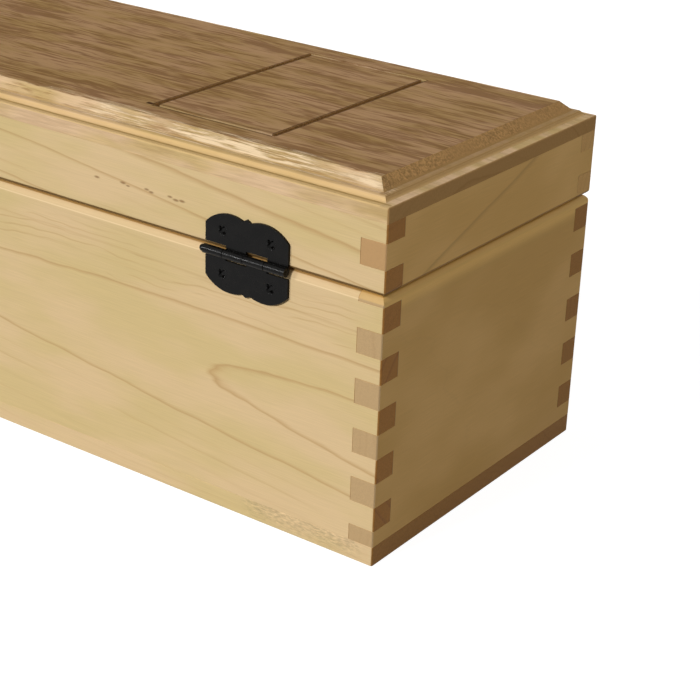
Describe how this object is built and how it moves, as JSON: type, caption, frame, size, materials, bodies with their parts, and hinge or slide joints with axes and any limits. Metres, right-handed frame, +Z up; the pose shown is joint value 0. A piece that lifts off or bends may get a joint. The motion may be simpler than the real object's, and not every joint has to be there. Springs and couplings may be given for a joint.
{
  "type": "wooden storage box",
  "caption": "Long finger-jointed wooden box with a moulded hinged lid, black butt hinges on the back and a swing hook latch on the front.",
  "frame": {"origin": "middle of the resting face, under the middle of the box", "axes": "+X along the box, +Y from the latch side to the hinge side, +Z up"},
  "size_m": [0.44, 0.1552, 0.148],
  "materials": {
    "board_wood": "matt",
    "panel_wood": "matt",
    "black_metal": "satin",
    "screw_metal": "satin"
  },
  "bodies": {
    "case": {"case_front_board": "board_wood", "case_back_board": "board_wood", "case_left_end_board": "board_wood", "case_right_end_board": "board_wood", "case_bottom_board": "board_wood", "hinge_case_screws": "screw_metal", "latch_case_plate": "black_metal", "latch_case_screws": "screw_metal", "latch_pivot_rivet": "black_metal", "left_hinge_case_leaf": "black_metal", "left_hinge_pin": "black_metal", "right_hinge_case_leaf": "black_metal", "right_hinge_pin": "black_metal"},
    "lid": {"lid_front_rail": "board_wood", "lid_back_rail": "board_wood", "lid_left_end_rail": "board_wood", "lid_right_end_rail": "board_wood", "lid_top_panel": "panel_wood", "hinge_lid_screws": "screw_metal", "latch_lid_plate": "black_metal", "latch_lid_screws": "screw_metal", "latch_keeper_stud": "black_metal", "left_hinge_lid_leaf": "black_metal", "right_hinge_lid_leaf": "black_metal"},
    "hook": {"latch_hook": "black_metal"}
  },
  "joints": [
    {"name": "lid_hinge", "type": "hinge", "parent": "case", "child": "lid", "pos_m": [0, 0.0758, 0.1078], "axis": [-1, 0, 0], "range_deg": [0, 180]},
    {"name": "hook_swing", "type": "hinge", "parent": "case", "child": "hook", "pos_m": [0, -0.0755, 0.0989], "axis": [0, 1, 0], "range_deg": [0, 180]}
  ]
}
